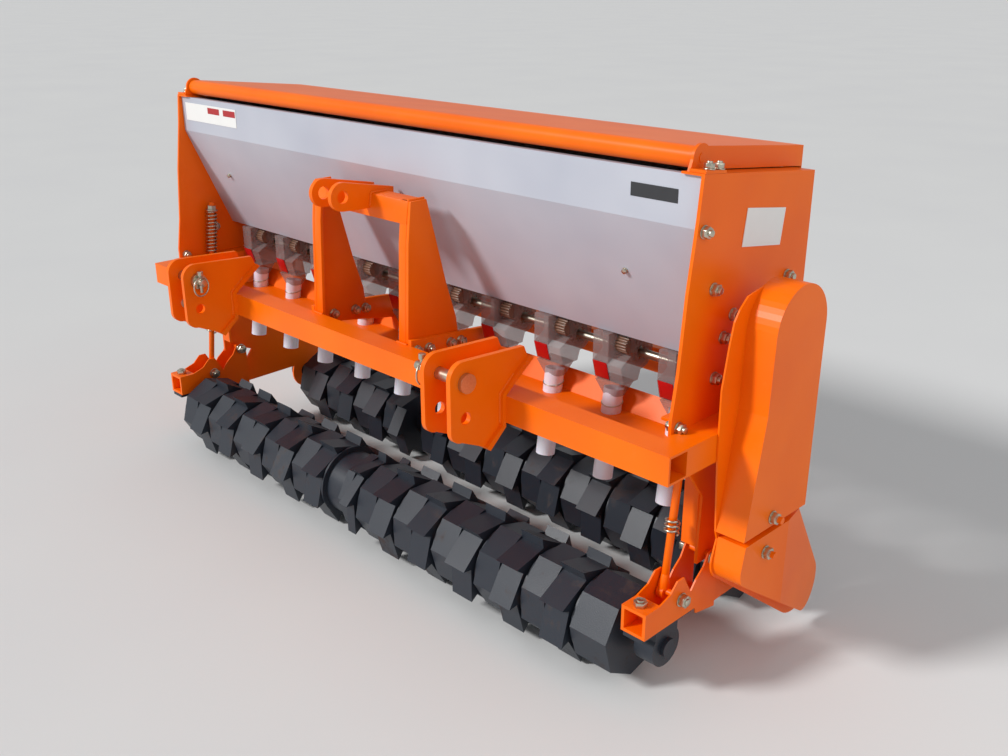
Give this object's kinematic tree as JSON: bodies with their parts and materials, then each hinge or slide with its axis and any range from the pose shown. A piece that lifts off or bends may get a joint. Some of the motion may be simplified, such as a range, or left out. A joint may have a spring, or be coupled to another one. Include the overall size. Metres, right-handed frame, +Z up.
{
  "type": "three-point mounted seed drill",
  "caption": "Narrow mounted seed drill: long hopper with hinged lid, seed meters and tubes, hitch mast and two notched packer rollers on a square tube frame.",
  "frame": {"origin": "on the ground under the middle of the whole machine", "axes": "+X along the rollers towards the chain guard, -Y forwards to the hitch, +Z up"},
  "size_m": [1.722, 0.6542, 0.9489],
  "materials": {
    "orange_paint": "bright orange gloss paint",
    "hopper_paint": "pale grey satin paint",
    "zinc_steel": "zinc plated steel",
    "black_iron": "black paint on cast iron",
    "smoky_plastic": "smoky clear moulded plastic",
    "red_plastic": "red moulded plastic",
    "milky_plastic": "milky white plastic",
    "white_label": "blank white label"
  },
  "bodies": {
    "root": {"toolbar": "orange_paint", "side_rail_left": "orange_paint", "side_rail_right": "orange_paint", "rear_beam": "orange_paint", "side_plate_left": "orange_paint", "side_plate_right": "orange_paint", "rim_flanges": "orange_paint", "post_flanges": "orange_paint", "rod_bracket": "orange_paint", "mast_plate_left": "orange_paint", "mast_plate_right": "orange_paint", "mast_cross_plate": "orange_paint", "top_link_lugs": "orange_paint", "mast_strap_left": "orange_paint", "mast_strap_right": "orange_paint", "hitch_ears_left": "orange_paint", "hitch_ears_right": "orange_paint", "hitch_pin_left": "zinc_steel", "hitch_pin_right": "zinc_steel", "hopper_ends": "hopper_paint", "hopper_bands": "hopper_paint", "hopper_slopes": "hopper_paint", "hopper_floor": "hopper_paint", "hopper_flanges": "hopper_paint", "lid_brackets": "orange_paint", "meter_housings": "smoky_plastic", "meter_shutters": "red_plastic", "seed_funnels": "milky_plastic", "tube_trough": "orange_paint", "seed_tubes": "milky_plastic", "roller_arm_left": "orange_paint", "roller_arm_right": "orange_paint", "spring_rod_left": "orange_paint", "spring_rod_right": "orange_paint", "springs": "zinc_steel", "front_bearings": "black_iron", "rear_bearings": "black_iron", "guard_back": "orange_paint", "guard_cover": "orange_paint", "guard_foot": "orange_paint", "caution_plate": "white_label"},
    "lid": {"lid": "orange_paint"},
    "front_roller": {"front_roller": "black_iron"},
    "rear_roller": {"rear_roller": "black_iron"},
    "feed_shaft": {"feed_shaft": "zinc_steel"}
  },
  "joints": [
    {"name": "lid_hinge", "type": "hinge", "parent": "root", "child": "lid", "pos_m": [-0.05, -0.05806, 0.927], "axis": [1, 0, 0], "range_deg": [0, 100]},
    {"name": "front_roller_spin", "type": "hinge", "parent": "root", "child": "front_roller", "pos_m": [-0.05, -0.12106, 0.10113], "axis": [1, 0, 0], "continuous": true},
    {"name": "rear_roller_spin", "type": "hinge", "parent": "root", "child": "rear_roller", "pos_m": [-0.05, 0.22594, 0.10113], "axis": [1, 0, 0], "continuous": true},
    {"name": "feed_shaft_spin", "type": "hinge", "parent": "root", "child": "feed_shaft", "pos_m": [-0.05, 0.07294, 0.533], "axis": [1, 0, 0], "continuous": true}
  ],
  "couplings": [
    {"joint": "feed_shaft_spin", "follows": "rear_roller_spin", "ratio": 0.5}
  ]
}
